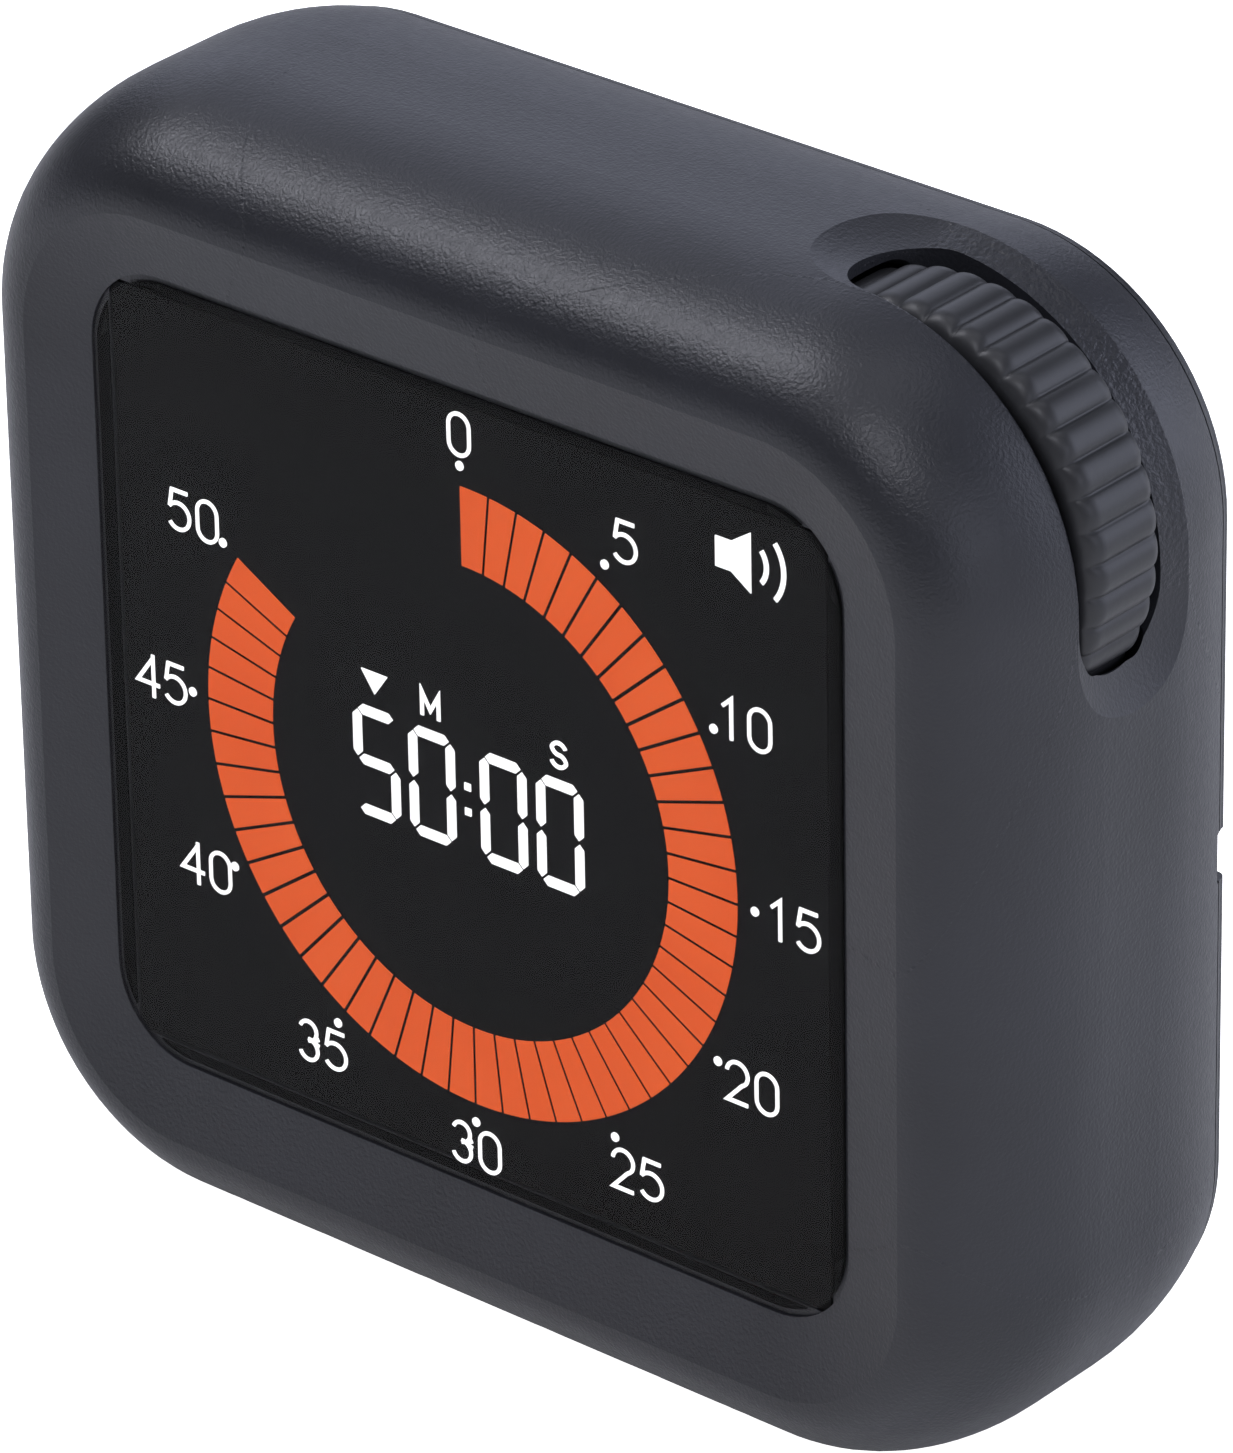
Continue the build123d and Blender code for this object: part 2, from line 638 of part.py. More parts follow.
def screws(spots, head_r, shank_r, seat_y, head_t, shank_l):
    """Cross-head screws along Y, heads behind seat_y, all in one group."""
    with BuildPart() as group:
        add(discs(spots, head_r, seat_y, seat_y + head_t).part)
        add(discs(spots, shank_r, seat_y - shank_l, seat_y).part)
        with BuildSketch(facing(seat_y + head_t)):
            with Locations(*spots):
                Rectangle(head_r * 1.2, 0.4)
                Rectangle(0.4, head_r * 1.2)
        extrude(amount=head_t * 0.6, mode=Mode.SUBTRACT)
    return group


# ---------------------------------------------------------------- thumbwheel and its carriage
def frame_block(u0, u1, v0, v1, y0, y1):
    """A box in the press frame: u is the way the wheel springs out, v is across it."""
    with BuildPart() as piece:
        with BuildSketch(press_frame(y0)):
            with Locations(((u0 + u1) / 2, (v0 + v1) / 2)):
                Rectangle(u1 - u0, v1 - v0)
        extrude(amount=y1 - y0)
    return piece


def make_wheel():
    """Ribbed tyre, moulded hub and the encoder's shaft, which turn together."""
    width = WHEEL_BACK_Y - WHEEL_FRONT_Y
    rib_r = 1.45  # each rib's crown, wider than the gap to the next, so the valleys are narrow
    shoulder = 1.3
    rim = WHEEL_R + 0.05  # of the rounded form that trims the ribs' ends, just clear of their crowns
    bore = 11.6
    shaft_r = 2.95
    flat_x = 2.2
    with BuildPart() as tyre:
        with BuildSketch(facing(WHEEL_BACK_Y)):
            with Locations((WHEEL_X, WHEEL_Z)):
                Circle(WHEEL_R - 0.8)
                with PolarLocations(WHEEL_R - rib_r, RIB_COUNT):
                    Circle(rib_r)
                Circle(bore, mode=Mode.SUBTRACT)
        extrude(amount=width)
        with BuildSketch(Plane(origin=(WHEEL_X, WHEEL_FRONT_Y, WHEEL_Z), x_dir=(1, 0, 0), z_dir=(0, 0, 1))):
            with BuildLine():
                Polyline((rim - shoulder, 0), (bore - 1, 0), (bore - 1, width), (rim - shoulder, width))
                TangentArc((rim - shoulder, width), (rim, width - shoulder), tangent=(1, 0))
                Line((rim, width - shoulder), (rim, shoulder))
                TangentArc((rim, shoulder), (rim - shoulder, 0), tangent=(0, -1))
            make_face()
        revolve(axis=Axis((WHEEL_X, 0, WHEEL_Z), (0, 1, 0)), mode=Mode.INTERSECT)
    save(tyre, "thumbwheel_tyre")
    axis_spot = [(WHEEL_X, WHEEL_Z)]
    with BuildPart() as hub:
        add(discs(axis_spot, bore - 0.02, WHEEL_FRONT_Y + 0.2, WHEEL_BACK_Y - 0.2).part)
        add(discs(axis_spot, bore - 1.4, WHEEL_FRONT_Y, 0.2).part, mode=Mode.SUBTRACT)
        add(discs(axis_spot, bore - 1.4, 1.8, WHEEL_BACK_Y).part, mode=Mode.SUBTRACT)
        add(discs(axis_spot, 5.2, WHEEL_FRONT_Y + 0.5, WHEEL_BACK_Y - 0.2).part)
        with BuildSketch(facing(WHEEL_BACK_Y)):
            with Locations((WHEEL_X, WHEEL_Z)):
                Circle(shaft_r + 0.03)
                with Locations((flat_x + 1.03, 0)):
                    Rectangle(2, 8, mode=Mode.SUBTRACT)
        extrude(amount=WHEEL_BACK_Y - WHEEL_FRONT_Y, mode=Mode.SUBTRACT)
    save(hub, "thumbwheel_hub")
    with BuildPart() as rotor:
        add(discs(axis_spot, shaft_r, WHEEL_FRONT_Y + 0.6, 6.2).part)
        add(discs(axis_spot, 4.4, 6.1, 7.7).part)
        flat = (WHEEL_X + flat_x, WHEEL_X + 5, WHEEL_FRONT_Y, WHEEL_BACK_Y, WHEEL_Z - 4, WHEEL_Z + 4)
        add(block(*flat).part, mode=Mode.SUBTRACT)
    save(rotor, "encoder_rotor")


def make_carriage():
    """The sliding carriage that lets the wheel be pressed, its guide, spring, encoder and switch."""
    axis_spot = [(WHEEL_X, WHEEL_Z)]
    with BuildPart() as carriage:
        add(frame_block(-17.4, 6.0, -7.0, 7.0, 3.75, 4.9).part)
        add(frame_block(-12.0, 3.6, -8.4, 8.4, 4.3, 4.9).part)
        add(frame_block(-16.4, -15.0, -2.0, 2.0, -3.5, 3.8).part)
        add(discs(axis_spot, 3.05, 3.0, 6.0).part, mode=Mode.SUBTRACT)
    save(carriage, "wheel_carriage")
    with BuildPart() as encoder:
        add(frame_block(-5.8, 5.8, -5.8, 5.8, 4.9, 9.4).part)
        add(discs(axis_spot, 3.05, 4.0, 6.0).part, mode=Mode.SUBTRACT)
        add(discs(axis_spot, 4.8, 5.8, 8.0).part, mode=Mode.SUBTRACT)
    save(encoder, "encoder_body")
    with BuildPart() as guide:
        add(frame_block(-21.6, 4.0, -10.0, 10.0, 5.05, 6.2).part)
        for side in (-1, 1):
            inner, outer = sorted((side * 8.6, side * 10.0))
            add(frame_block(-13.0, 4.0, inner, outer, 3.6, 5.1).part)
            inner, outer = sorted((side * 7.3, side * 10.0))
            add(frame_block(-13.0, 4.0, inner, outer, 3.6, 4.15).part)
            inner, outer = sorted((side * 9.0, side * 17.5))
            add(frame_block(-7.3, -2.7, inner, outer, 5.05, 6.2).part)
        add(discs(guide_spots(), 2.3, 5.05, 6.2).part)
        add(frame_block(-21.6, -20.6, -2.0, 2.0, 3.0, 5.1).part)
        add(frame_block(-7.0, 6.0, -6.2, 6.2, 5.0, 7.0).part, mode=Mode.SUBTRACT)
        add(discs(guide_spots(), 0.95, 5.0, 7.0).part, mode=Mode.SUBTRACT)
    save(guide, "carriage_guide")
    save(screws(guide_spots(), 1.8, 0.7, 6.2, 0.9, 5.0), "guide_screws")
    wire_r = 0.15
    coil_r = 0.95
    spring_start = -20.45
    spring_l = 2.9
    start = press_frame(3.9).from_local_coords((spring_start, 0))
    with BuildPart() as spring:
        with BuildLine() as coil:
            Helix(pitch=0.6, height=spring_l, radius=coil_r, center=start, direction=(1, 0, 1))
        with BuildSketch(Plane(coil.line @ 0, z_dir=coil.line % 0)):
            Circle(wire_r)
        sweep(path=coil.line)
    save(spring, "return_spring")
    plunger_y = -2.7
    with BuildPart() as switch:
        add(frame_block(-22.2, -18.4, -3.0, 3.0, PCB_BACK_Y, -1.1).part)
        with BuildSketch(Plane(press_frame(plunger_y).from_local_coords((-18.3, 0)), z_dir=(-1, 0, -1))):
            Circle(0.95)
        extrude(amount=2.9, mode=Mode.SUBTRACT)
    save(switch, "tact_switch")
    with BuildPart() as plunger:
        with BuildSketch(Plane(press_frame(plunger_y).from_local_coords((-16.42, 0)), z_dir=(-1, 0, -1))):
            Circle(0.85)
        extrude(amount=3.8)
    save(plunger, "switch_plunger")


# ---------------------------------------------------------------- sound, volume switch, magnets
def make_back_fittings():
    """Buzzer, volume switch and its small board, magnets and the cover's screws."""
    save(discs([(0, BUZZER_Z)], 10.2, 7.9, 8.1), "buzzer_disc")
    save(discs([(0, BUZZER_Z)], 7.0, 7.7, 7.9), "buzzer_ceramic")
    save(discs(MAGNET_SPOTS, 4.45, BACK_Y - 1.6, BACK_Y - 0.1), "magnets")
    save(screws(SCREW_SPOTS, 2.1, 0.8, BACK_Y - 1.2, 1.0, 7.6), "cover_screws")
    board_posts = [(-5.6, SWITCH_POST_Z), (5.6, SWITCH_POST_Z)]
    with BuildPart() as board:
        add(block(-7.6, 7.6, 5.8, 6.6, 60.2, 68.4).part)
        add(discs(board_posts, 0.7, 5, 7).part, mode=Mode.SUBTRACT)
    save(board, "switch_board")
    with BuildPart() as pins:
        add(discs(board_posts, 1.2, 5.1, 5.8).part)
        add(discs(board_posts, 0.55, 5.8, 9.6).part)
    save(pins, "switch_board_screws")
    with BuildPart() as body:
        add(block(-4.3, 4.3, 6.6, 8.6, SWITCH_Z - 1.9, SWITCH_Z + 1.9).part)
        add(block(-3.2, 3.2, 7.4, 9.0, SWITCH_Z - 1.0, SWITCH_Z + 1.0).part, mode=Mode.SUBTRACT)
    save(body, "volume_switch_body")
    with BuildPart() as slider:
        add(block(-0.9, 0.9, 7.7, 9.6, SWITCH_Z - 0.8, SWITCH_Z + 0.8).part)
        add(block(-6.6, 6.6, 9.3, 10.1, SWITCH_Z - 2.2, SWITCH_Z + 2.2).part)
        add(block(-2.1, 2.1, 10.0, 12.5, SWITCH_Z - 1.35, SWITCH_Z + 1.35).part)
        for rib in (-1.2, 0, 1.2):
            add(block(rib - 0.2, rib + 0.2, 12.2, 13, SWITCH_Z - 2, SWITCH_Z + 2).part, mode=Mode.SUBTRACT)
    save(slider, "volume_slider")


# ---------------------------------------------------------------- batteries and wiring
def make_power():
    """Two AAA cells lying head to tail, their contacts, and the leads to the board."""
    half_l = BAY_X - 0.4
    tail_x = half_l - CELL_L
    for label, side, z in (("battery_lower", 1, CELL_LOW_Z), ("battery_upper", -1, CELL_HIGH_Z)):
        with BuildPart() as cell:
            with BuildSketch(Plane(origin=(side * tail_x, CELL_Y, z), z_dir=(side, 0, 0))):
                Circle(CELL_R)
            extrude(amount=CELL_L - 1.0)
            chamfer(cell.edges().filter_by(GeomType.CIRCLE), 0.4)
            with BuildSketch(Plane(origin=(side * half_l, CELL_Y, z), z_dir=(-side, 0, 0))):
                Circle(1.9)
            extrude(amount=1.2)
        save(cell, label)
    with BuildPart() as plates:
        for side, z in ((1, CELL_LOW_Z), (-1, CELL_HIGH_Z)):
            x0, x1 = sorted((side * half_l, side * BAY_X))
            add(block(x0, x1, CELL_Y - 4, CELL_Y + 4, z - 4.2, z + 4.2).part)
    save(plates, "positive_contacts")
    plate_t = 0.3
    wire_r = 0.3
    with BuildPart() as springs:
        for side, z in ((-1, CELL_LOW_Z), (1, CELL_HIGH_Z)):
            x0, x1 = sorted((side * (BAY_X - plate_t), side * BAY_X))
            add(block(x0, x1, CELL_Y - 4, CELL_Y + 4, z - 4.2, z + 4.2).part)
            start_x = side * (BAY_X - plate_t - wire_r)
            height = BAY_X - plate_t - abs(tail_x) - 2 * wire_r
            with BuildLine() as coil:
                Helix(pitch=1.2, height=height, radius=2.4, center=(start_x, CELL_Y, z), direction=(-side, 0, 0))
            with BuildSketch(Plane(coil.line @ 0, z_dir=coil.line % 0)):
                Circle(wire_r)
            sweep(path=coil.line)
    save(springs, "spring_contacts")
    leads = {
        "battery_wires": [
            [(x, 4.0, BAY_Z1 + BAY_WALL), (x, 4.0, 35.5), (x, PCB_BACK_Y, 35.5)] for x in (-22.5, -20.5)
        ],
        "buzzer_wires": [
            [(x, 7.7, z), (x, 1.5, z), (x - 3, 1.5, z + 6), (x - 3, PCB_BACK_Y, z + 6)]
            for x, z in ((-2.0, BUZZER_Z), (-5.5, BUZZER_Z))
        ],
    }
    for label, routes in leads.items():
        with BuildPart() as wires:
            for route in routes:
                with BuildLine() as run:
                    FilletPolyline(*route, radius=1.6)
                with BuildSketch(Plane(run.line @ 0, z_dir=run.line % 0)):
                    Circle(0.4)
                sweep(path=run.line)
        save(wires, label)
    save(discs([(-3, 61.4), (0, 61.4), (3, 61.4)], 0.35, PCB_BACK_Y, 5.8), "switch_wires")


save(make_front_housing(), "front_housing")
save(feet(0, FOOT_T), "foot_pads")
save(make_rear_cover(), "rear_cover")
save(make_battery_door(), "battery_door")
make_display()
make_graphics()
make_board()
make_wheel()
make_carriage()
make_back_fittings()
make_power()
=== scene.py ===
"""Looks for the square kitchen timer: finishes, ribbed thumbwheel grip, studio light and camera."""

import bpy
import numpy as np
from mathutils import Matrix, Vector


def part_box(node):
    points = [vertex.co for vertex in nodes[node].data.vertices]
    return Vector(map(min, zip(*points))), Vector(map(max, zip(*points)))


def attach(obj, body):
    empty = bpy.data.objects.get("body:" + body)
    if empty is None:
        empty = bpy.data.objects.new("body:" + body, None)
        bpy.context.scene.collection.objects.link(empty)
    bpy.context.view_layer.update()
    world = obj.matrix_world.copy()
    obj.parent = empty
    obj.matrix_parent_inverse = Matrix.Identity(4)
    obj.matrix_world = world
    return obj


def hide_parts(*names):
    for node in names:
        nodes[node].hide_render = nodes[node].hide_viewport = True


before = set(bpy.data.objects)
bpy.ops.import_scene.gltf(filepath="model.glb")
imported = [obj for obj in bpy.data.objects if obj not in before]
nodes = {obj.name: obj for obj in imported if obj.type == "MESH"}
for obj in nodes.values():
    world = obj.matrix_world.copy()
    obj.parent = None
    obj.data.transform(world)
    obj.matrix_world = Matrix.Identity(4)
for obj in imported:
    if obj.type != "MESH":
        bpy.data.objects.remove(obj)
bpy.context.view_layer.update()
scene = bpy.context.scene

MM = 0.001
BODY_W = 82.0 * MM
BODY_H = 77.7 * MM
MID_Z = BODY_H / 2
CORNER_R = 16.9 * MM  # of the casing's widest outline, about the axis at CORNER_X, CORNER_Z
CORNER_X = BODY_W / 2 - CORNER_R
CORNER_Z = BODY_H - CORNER_R
MOULD_RELIEF = 0.02 * MM
MASK_RELIEF = 0.03 * MM


# ---------------------------------------------------------------- node helpers
def linear(hex_colour):
    """An sRGB hex colour as linear RGBA: c/12.92 below 0.04045, else ((c + 0.055) / 1.055) ** 2.4."""
    channels = np.array([int(hex_colour[i : i + 2], 16) for i in (0, 2, 4)]) / 255
    low = channels / 12.92
    high = ((channels + 0.055) / 1.055) ** 2.4
    return (*np.where(channels <= 0.04045, low, high).tolist(), 1.0)


def add_node(tree, kind, inputs=None, **settings):
    """Adds one node: settings go on the node, inputs are values or (node, output name) links."""
    made = tree.nodes.new("ShaderNode" + kind)
    for name, value in settings.items():
        setattr(made, name, value)
    for name, value in (inputs or {}).items():
        if isinstance(value, tuple) and isinstance(value[0], bpy.types.Node):
            tree.links.new(value[0].outputs[value[1]], made.inputs[name])
        else:
            made.inputs[name].default_value = value
    return made


def new_material(name, **shader):
    """A material with one Principled shader whose constant sockets are set directly.

    It comes back with its tree, the shader and the node that gives a point's place.
    """
    material = bpy.data.materials.new(name)
    material.use_nodes = True
    tree = material.node_tree
    tree.nodes.clear()
    surface = add_node(tree, "BsdfPrincipled", {k.replace("_", " "): v for k, v in shader.items()})
    add_node(tree, "OutputMaterial", {"Surface": (surface, "BSDF")})
    place = add_node(tree, "TexCoord")
    return material, tree, surface, place


def feed(tree, source, output, shader, socket):
    """Links a node's output to a shader's socket."""
    tree.links.new(source.outputs[output], shader.inputs[socket])


def colour_ramp(tree, source, output, stops):
    """Colours from a 0 to 1 value, as (place, linear colour) stops."""
    ramp = add_node(tree, "ValToRGB", {"Fac": (source, output)})
    elements = ramp.color_ramp.elements
    while len(elements) < len(stops):
        elements.new(0.5)
    for element, (place, colour) in zip(elements, stops):
        element.position = place
        element.color = colour
    return ramp


def math_node(tree, operation, *values):
    """A Math node whose inputs are numbers or (node, output) links, in order."""
    return add_node(tree, "Math", dict(enumerate(values)), operation=operation)


# ---------------------------------------------------------------- finishes
def spark_eroded_abs(name, dark, light, scoop=False):
    """Charcoal ABS moulded in a spark-eroded tool: satin, with a fine pebbled grain that glints.

    The grain is 0.24 mm apart, and 0.38 mm in the dish behind the thumbwheel.
    """
    clouding = 90.0  # this and the next three are per metre
    grain = 4200.0
    dish_grain = 2600.0
    gloss_patches = 1800.0
    material, tree, surface, place = new_material(name, Specular_IOR_Level=0.5)
    coords = (place, "Object")
    cloud = add_node(tree, "TexNoise", {"Vector": coords, "Scale": clouding, "Detail": 3.0})
    tint = colour_ramp(tree, cloud, "Fac", [(0.3, linear(dark)), (0.7, linear(light))])
    feed(tree, tint, "Color", surface, "Base Color")
    pebble = add_node(tree, "TexNoise", {"Vector": coords, "Scale": grain, "Detail": 2.0, "Roughness": 0.6})
    bump = add_node(tree, "Bump", {"Height": (pebble, "Fac"), "Strength": 0.5, "Distance": 0.1 * MM})
    if scoop:
        where = scoop_mask(tree, place)
        coarse = add_node(tree, "TexNoise", {"Vector": coords, "Scale": dish_grain, "Detail": 2.0})
        amount = math_node(tree, "MULTIPLY", (coarse, "Fac"), (where, "Value"))
        bump = add_node(tree, "Bump", {
            "Height": (amount, "Value"), "Strength": 0.9, "Distance": 0.14 * MM, "Normal": (bump, "Normal"),
        })
    feed(tree, bump, "Normal", surface, "Normal")
    sheen = add_node(tree, "TexNoise", {"Vector": coords, "Scale": gloss_patches, "Detail": 1.0})
    rough = add_node(tree, "MapRange", {"Value": (sheen, "Fac"), "To Min": 0.34, "To Max": 0.46})
    feed(tree, rough, "Result", surface, "Roughness")
    return material


def scoop_mask(tree, place):
    """1 on the dish: where the distance to the fat ring's centre circle equals the ring's section radius.

    The dish reaches dish_half to either side of its middle and is dish_deep deep, so the section radius
    is (half^2 + deep^2) / (2 deep).
    """
    dish_half = 5.7 * MM
    dish_deep = 1.0 * MM
    dish_mid_y = 1.5 * MM
    skin = 0.06 * MM  # how near the dish a point counts as on it
    section_r = (dish_half**2 + dish_deep**2) / (2 * dish_deep)
    ring_r = CORNER_R + section_r - dish_deep
    flat = add_node(tree, "VectorMath", {
        0: (place, "Object"), 1: (1.0, 0.0, 1.0),
    }, operation="MULTIPLY")
    reach = add_node(tree, "VectorMath", {
        0: (flat, "Vector"), 1: (CORNER_X, 0.0, CORNER_Z),
    }, operation="DISTANCE")
    parts = add_node(tree, "SeparateXYZ", {"Vector": (place, "Object")})
    out = math_node(tree, "SUBTRACT", (reach, "Value"), ring_r)
    back = math_node(tree, "SUBTRACT", (parts, "Y"), dish_mid_y)
    both = add_node(tree, "CombineXYZ", {"X": (out, "Value"), "Y": (back, "Value")})
    span = add_node(tree, "VectorMath", {0: (both, "Vector")}, operation="LENGTH")
    miss = math_node(tree, "SUBTRACT", (span, "Value"), section_r)
    gap = math_node(tree, "ABSOLUTE", (miss, "Value"))
    return math_node(tree, "LESS_THAN", (gap, "Value"), skin)


def overmoulded_rubber():
    """Grip elastomer: soft satin, faintly mottled, no grain to speak of."""
    material, tree, surface, place = new_material("tpe_moulded_grip", Specular_IOR_Level=0.45)
    cloud = add_node(tree, "TexNoise", {"Vector": (place, "Object"), "Scale": 160.0, "Detail": 4.0})
    tint = colour_ramp(tree, cloud, "Fac", [(0.3, linear("29292b")), (0.75, linear("323335"))])
    feed(tree, tint, "Color", surface, "Base Color")
    rough = add_node(tree, "MapRange", {"Value": (cloud, "Fac"), "To Min": 0.36, "To Max": 0.5})
    feed(tree, rough, "Result", surface, "Roughness")
    skin = add_node(tree, "TexNoise", {"Vector": (place, "Object"), "Scale": 2500.0, "Detail": 2.0})
    bump = add_node(tree, "Bump", {"Height": (skin, "Fac"), "Strength": 0.25, "Distance": 0.03 * MM})
    feed(tree, bump, "Normal", surface, "Normal")
    return material


def window_glass():
    """Hard-coated acrylic sheet: smooth, nearly clear, a trace of haze."""
    material, tree, surface, place = new_material(
        "acrylic_hard_coated_window", Base_Color=linear("0c0c0b"), IOR=1.49, Alpha=0.15,
    )
    haze = add_node(tree, "TexNoise", {"Vector": (place, "Object"), "Scale": 60.0, "Detail": 2.0})
    rough = add_node(tree, "MapRange", {"Value": (haze, "Fac"), "To Min": 0.1, "To Max": 0.14})
    feed(tree, rough, "Result", surface, "Roughness")
    return material


def lit_segment(name, colour, strength, edge):
    """A display segment lit from behind: even, a shade deeper in fine patches."""
    material, tree, surface, place = new_material(
        name, Roughness=0.6, Specular_IOR_Level=0.1, Emission_Strength=strength,
    )
    cloud = add_node(tree, "TexNoise", {"Vector": (place, "Object"), "Scale": 120.0, "Detail": 2.0})
    tint = colour_ramp(tree, cloud, "Fac", [(0.3, linear(edge)), (0.7, linear(colour))])
    feed(tree, tint, "Color", surface, "Base Color")
    feed(tree, tint, "Color", surface, "Emission Color")
    return material


def mottled(name, dark, light, scale, rough=(0.4, 0.6), bump_depth=0.0, bump_scale=1500.0, **shader):
    """A moulded, filmed, plated or painted finish: two close tones, uneven gloss and a fine relief.

    The scales are per metre and the relief's depth is in metres.
    """
    material, tree, surface, place = new_material(name, **shader)
    cloud = add_node(tree, "TexNoise", {"Vector": (place, "Object"), "Scale": scale, "Detail": 3.0})
    tint = colour_ramp(tree, cloud, "Fac", [(0.3, linear(dark)), (0.7, linear(light))])
    feed(tree, tint, "Color", surface, "Base Color")
    gloss = add_node(tree, "MapRange", {"Value": (cloud, "Fac"), "To Min": rough[0], "To Max": rough[1]})
    feed(tree, gloss, "Result", surface, "Roughness")
    if bump_depth:
        grain = add_node(tree, "TexNoise", {"Vector": (place, "Object"), "Scale": bump_scale, "Detail": 2.0})
        bump = add_node(tree, "Bump", {"Height": (grain, "Fac"), "Strength": 0.5, "Distance": bump_depth})
        feed(tree, bump, "Normal", surface, "Normal")
    return material


def give(material, *names):
    """Gives every named piece the same material, in place of what it had."""
    for name in names:
        slots = nodes[name].data.materials
        slots.clear()
        slots.append(material)


give(spark_eroded_abs("abs_spark_eroded_front", "25262a", "2b2c31", scoop=True), "front_housing")
give(spark_eroded_abs("abs_spark_eroded_back", "242529", "2a2b2f"), "rear_cover", "battery_door")
# Moulded silicone: near black and dull.
give(mottled("silicone_foot_pad", "18181a", "212123", 300, (0.55, 0.7), MOULD_RELIEF), "foot_pads")
give(window_glass(), "display_window")
give(lit_segment("display_segment_orange", "e5602c", 0.84, "e05a28"), "minute_bars")
white_segment = lit_segment("display_segment_white", "ffffff", 1.25, "f8f8f8")
give(white_segment, "dial_numerals", "dial_dots", "time_digits", "speaker_icon")
# Black tape and film: no shine to speak of.
give(mottled("pet_adhesive_tape", "0d0d0d", "101010", 200, Specular_IOR_Level=0.05), "window_tape")
give(mottled("polarising_film", "0d0d0d", "101010", 80, (0.5, 0.6), Specular_IOR_Level=0.05),
     "front_polariser", "rear_polariser")
# Float glass over a dark cell: glossy, almost black.
give(mottled("soda_lime_cell_glass", "1a1d1c", "202423", 60, (0.05, 0.1), IOR=1.52),
     "lcd_front_glass", "lcd_rear_glass")
# Printed film: pale and satin.
give(mottled("printed_colour_film", "c9c4ba", "d8d4cc", 90, (0.3, 0.4)), "colour_film")
# White moulded plastic and film: bright, satin.
give(mottled("white_abs_moulded", "dcdcd8", "e9e9e6", 120, (0.4, 0.55), MOULD_RELIEF),
     "diffuser_sheet", "reflector_sheet", "backlight_frame", "backlight_leds")
# Polished acrylic: pale, cool and glossy.
give(mottled("pmma_light_guide", "cfd8da", "dfe6e8", 60, (0.08, 0.15)), "light_guide")
# Moulded silicone: pink and dull.
give(mottled("silicone_contact_strip", "8a444d", "9a525b", 200, (0.5, 0.6)), "contact_strip")
# Solder mask on glass-epoxy board: green, fairly glossy, with the weave just felt.
give(mottled("fr4_solder_mask", "173d27", "20502f", 500, (0.25, 0.4), MASK_RELIEF, 900.0),
     "main_board", "switch_board")
# Zinc-plated steel: a cool grey metal.
give(mottled("steel_zinc_plated", "a9acae", "c4c6c8", 700, (0.25, 0.4), Metallic=1.0),
     "board_screws", "guide_screws", "switch_board_screws")
# Blackened steel: a dark metal, soft in its shine.
give(mottled("steel_black_oxide", "1d1d1f", "2c2c2e", 700, (0.3, 0.45), MOULD_RELIEF, Metallic=1.0),
     "cover_screws")
# Moulded epoxy: charcoal and matt.
give(mottled("epoxy_moulded_chip", "161617", "222224", 400, (0.55, 0.7), MOULD_RELIEF),
     "microcontroller", "board_parts", "tact_switch", "volume_switch_body")
# Moulded acetal: black, with a waxy satin.
give(mottled("acetal_moulded_black", "1f2022", "2a2b2d", 200, (0.38, 0.5), MOULD_RELIEF),
     "thumbwheel_hub", "encoder_rotor", "wheel_carriage", "encoder_body", "carriage_guide",
     "switch_plunger", "volume_slider")
# Nickel-plated spring steel: a bright, slightly warm metal.
give(mottled("spring_steel_nickel_plated", "b4b4b0", "d0d0cc", 600, (0.18, 0.3), Metallic=1.0),
     "return_spring", "positive_contacts", "spring_contacts")
# Rolled brass: a yellow metal.
give(mottled("brass_rolled_sheet", "a98a4c", "c2a15e", 300, (0.2, 0.32), Metallic=1.0), "buzzer_disc")
# Silvered ceramic: off-white and matt.
give(mottled("piezo_ceramic_silvered", "cbc8c0", "dedbd3", 300, (0.4, 0.55)), "buzzer_ceramic")
# Nickel plate on a magnet: a grey metal.
give(mottled("magnet_nickel_plated", "8c8e90", "a6a8aa", 260, (0.2, 0.34), Metallic=1.0), "magnets")
# Printed jacket of a cell: dark and glossy.
give(mottled("cell_jacket_printed", "2d2f32", "3a3c40", 120, (0.25, 0.35)), "battery_lower", "battery_upper")
# PVC sleeve: red and satin.
give(mottled("pvc_wire_sleeve", "7a2222", "8c2b2b", 300, (0.35, 0.45)),
     "battery_wires", "buzzer_wires", "switch_wires")


# ---------------------------------------------------------------- thumbwheel grip
def mesh_grid(name, points, wrap_u, wrap_v):
    """A quad mesh over a grid of points shaped (rows, columns, 3), closed along either way."""
    rows, columns = points.shape[:2]
    index = np.arange(rows * columns).reshape(rows, columns)
    if wrap_u:
        index = np.concatenate([index, index[:1]])
    if wrap_v:
        index = np.concatenate([index, index[:, :1]], axis=1)
    quads = np.stack([index[:-1, :-1], index[:-1, 1:], index[1:, 1:], index[1:, :-1]], -1).reshape(-1, 4)
    mesh = bpy.data.meshes.new(name)
    mesh.from_pydata(points.reshape(-1, 3).tolist(), [], quads.tolist())
    mesh.polygons.foreach_set("use_smooth", np.ones(len(quads), bool))
    mesh.update()
    piece = bpy.data.objects.new(name, mesh)
    scene.collection.objects.link(piece)
    return piece


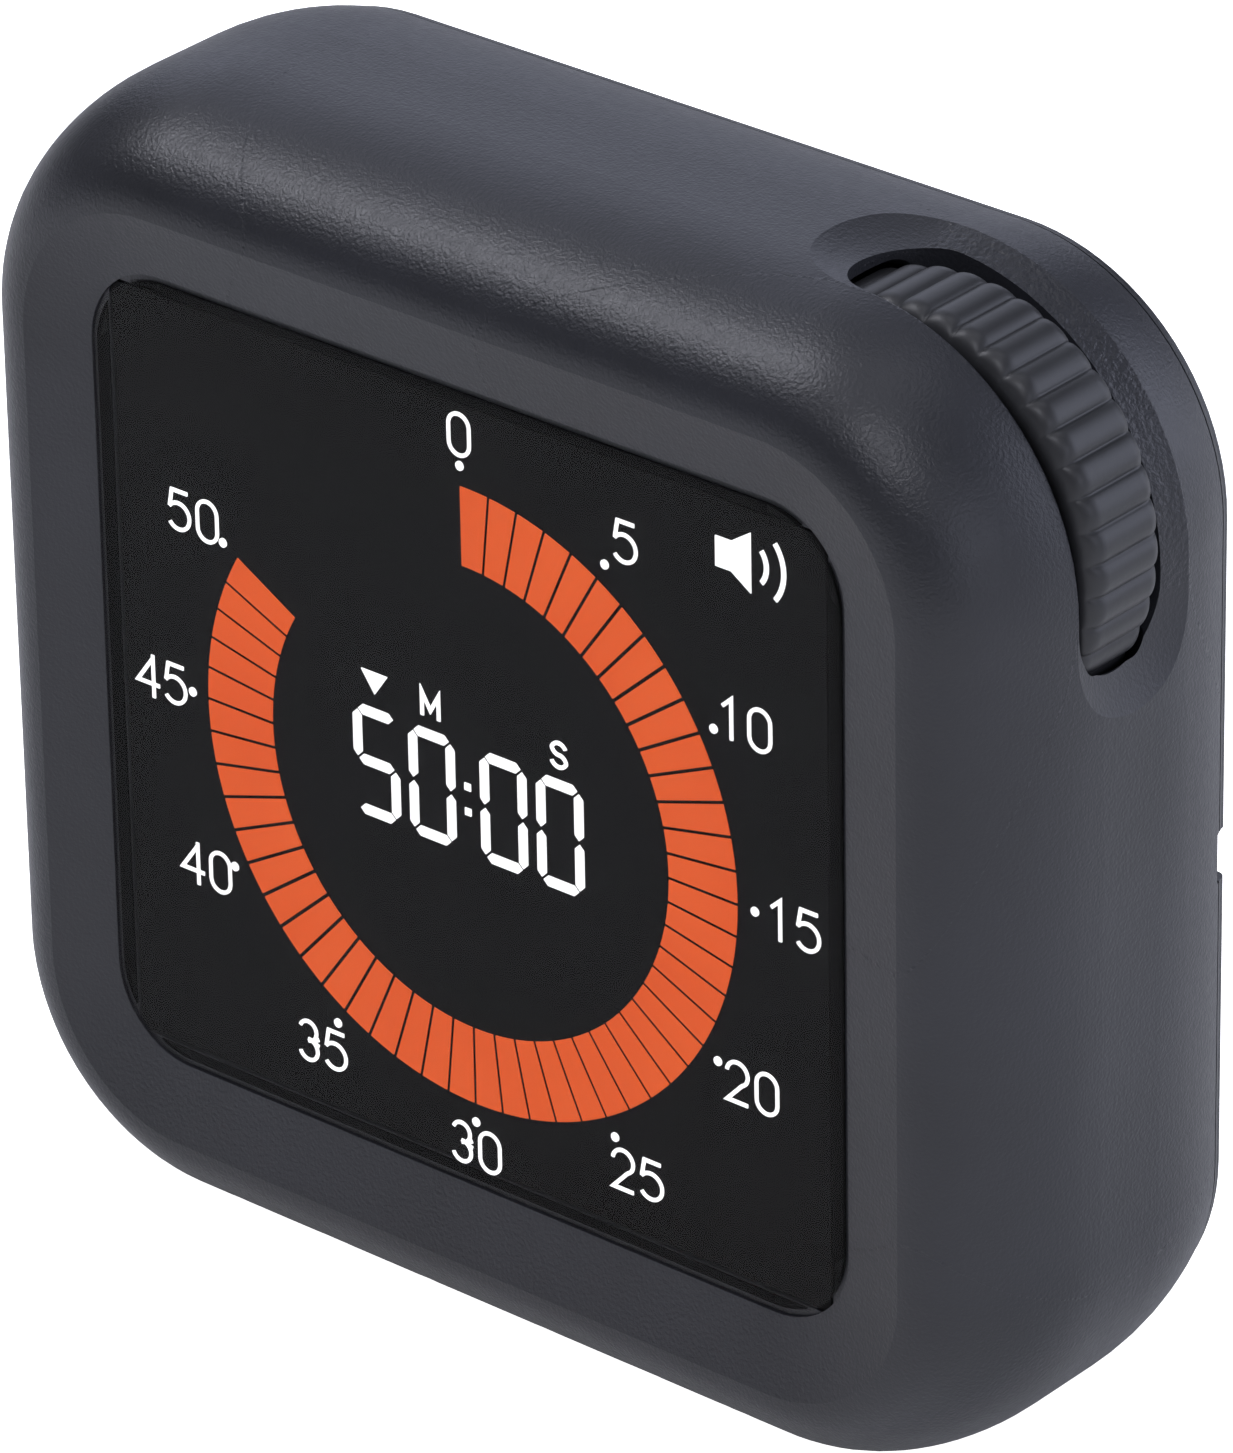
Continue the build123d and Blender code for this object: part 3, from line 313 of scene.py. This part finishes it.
def grip_surface():
    """Ribbed tyre round the wheel's axis.

    Across a rib the radius follows an ellipse's crown, sqrt(1 - (reach s)^2), s from rib centre to valley.
    Along the width each shoulder falls away as a quarter ellipse, and the ribs fade there.
    The section closes round the inside at the bore's radius.
    """
    low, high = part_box("thumbwheel_tyre")
    centre = (low + high) / 2
    outer = (high.x - low.x) / 2
    half_width = (high.y - low.y) / 2
    bore = 11.6 * MM
    valley_deep = 0.62 * MM
    shoulder_drop = 1.15 * MM
    crown_reach = 0.93  # below 1, so that a rib meets its valley at a slope and not a wall
    flat_part = 0.62  # of the half width, before a shoulder starts
    rib_fade = 0.9
    dense_part = 0.6  # of the half width, beyond which the rows are closer
    ribs = 40
    steps = 22  # points across one rib
    angle = np.linspace(0, 2 * np.pi, ribs * steps, endpoint=False)
    s = (angle * ribs / (2 * np.pi) + 0.5) % 1 * 2 - 1
    crown = np.sqrt(np.clip(1 - (crown_reach * s) ** 2, 0, 1))
    valley = valley_deep * (1 - crown)
    # The section runs along the width over the outside, then back along the bore.
    t = np.concatenate([
        np.linspace(-1, -dense_part, 12, endpoint=False),
        np.linspace(-dense_part, dense_part, 10, endpoint=False),
        np.linspace(dense_part, 1, 13),
    ])
    shoulder = np.clip((np.abs(t) - flat_part) / (1 - flat_part), 0, 1)
    fall = shoulder_drop * (1 - np.sqrt(1 - shoulder**2))
    fade = np.sqrt(1 - shoulder**2 * rib_fade)
    radius = outer - fall[None, :] - valley[:, None] * fade[None, :]
    y = np.broadcast_to(t * half_width, radius.shape)
    inner_y = np.array([1.0, -1.0]) * half_width
    radius = np.concatenate([radius, np.full((len(angle), 2), bore)], axis=1)
    y = np.concatenate([y, np.broadcast_to(inner_y, (len(angle), 2))], axis=1)
    x = centre.x + radius * np.sin(angle)[:, None]
    z = centre.z + radius * np.cos(angle)[:, None]
    return np.stack([x, y + centre.y, z], -1)


grip = mesh_grid("thumbwheel_grip", grip_surface(), True, True)
grip.data.materials.append(overmoulded_rubber())
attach(grip, "wheel")
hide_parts("thumbwheel_tyre")


# ---------------------------------------------------------------- floor, light, camera
def make_floor():
    """A pale seamless sheet under the timer: white to look at, and a dimmer glow for what it lights."""
    half = 3.0  # metres
    seen_glow = 1.2
    cast_glow = 0.14
    mesh = bpy.data.meshes.new("floor")
    corners = [(-half, -half, 0), (half, -half, 0), (half, half, 0), (-half, half, 0)]
    mesh.from_pydata(corners, [], [(0, 1, 2, 3)])
    floor = bpy.data.objects.new("floor", mesh)
    scene.collection.objects.link(floor)
    paper = mottled("paper_backdrop", "f4f4f4", "fafafa", 20, (0.85, 0.95), Specular_IOR_Level=0.1,
                    Emission_Color=linear("ffffff"))
    tree = paper.node_tree
    rays = add_node(tree, "LightPath")
    glow = add_node(tree, "MapRange", {
        "Value": (rays, "Is Camera Ray"), "To Min": cast_glow, "To Max": seen_glow,
    })
    feed(tree, glow, "Result", tree.nodes["Principled BSDF"], "Emission Strength")
    floor.data.materials.append(paper)


def softbox(name, direction, distance, size, power, colour):
    """A square area light out along a direction from the timer's middle, aimed back at it.

    The distance and the side are in metres and the power in watts.
    """
    data = bpy.data.lights.new(name, "AREA")
    data.shape = "SQUARE"
    data.size = size
    data.energy = power
    data.color = linear(colour)[:3]
    light = bpy.data.objects.new(name, data)
    away = Vector(direction).normalized()
    light.location = Vector((0, 0, MID_Z)) + away * distance
    light.rotation_euler = away.to_track_quat("Z", "Y").to_euler()
    scene.collection.objects.link(light)


def make_camera():
    """Seen from the right and above through a long lens, and turned one degree about its own axis."""
    azimuth, elevation, roll = np.radians([40.76, 27.82, -1.03])
    stand = (0.36766, -0.42412, 0.33526)  # metres
    towards = np.array([
        np.sin(azimuth) * np.cos(elevation), -np.cos(azimuth) * np.cos(elevation), np.sin(elevation),
    ])
    right = np.array([np.cos(azimuth), np.sin(azimuth), 0.0])
    up = np.cross(towards, right)
    across = np.cos(roll) * right + np.sin(roll) * up
    upward = np.cos(roll) * up - np.sin(roll) * right
    turn = Matrix(np.stack([across, upward, towards], 1).tolist()).to_4x4()
    data = bpy.data.cameras.new("camera")
    data.sensor_width = 36.0  # mm, as is the lens
    data.lens = 255.7
    data.clip_start = 10 * MM
    camera = bpy.data.objects.new("camera", data)
    camera.matrix_world = Matrix.Translation(stand) @ turn
    scene.collection.objects.link(camera)
    scene.camera = camera


make_floor()
make_camera()
# Name, direction out from the timer, distance, side, power and colour.
softbox("key_upper_left", (-0.52, -0.20, 0.83), 0.9, 0.25, 3.2, "f4f5ff")
softbox("front_top", (0.30, -0.56, 0.77), 1.0, 0.2, 2.4, "f4f5ff")
softbox("back_left", (-0.577, 0.67, 0.467), 1.0, 0.8, 2.2, "e4e9ff")
softbox("overhead", (0.1, 0.1, 1.0), 1.4, 0.6, 2.2, "f2f4ff")
softbox("back_right", (0.60, 0.70, 0.25), 1.2, 1.1, 9.0, "e4e9ff")
softbox("right", (1.0, -0.25, 0.35), 1.2, 0.5, 2.2, "e8ecff")
world = bpy.data.worlds.new("studio")
world.use_nodes = True
room = world.node_tree.nodes["Background"]
room.inputs["Color"].default_value = linear("e8ebf6")
room.inputs["Strength"].default_value = 0.06
scene.world = world
scene.view_settings.view_transform = "Standard"
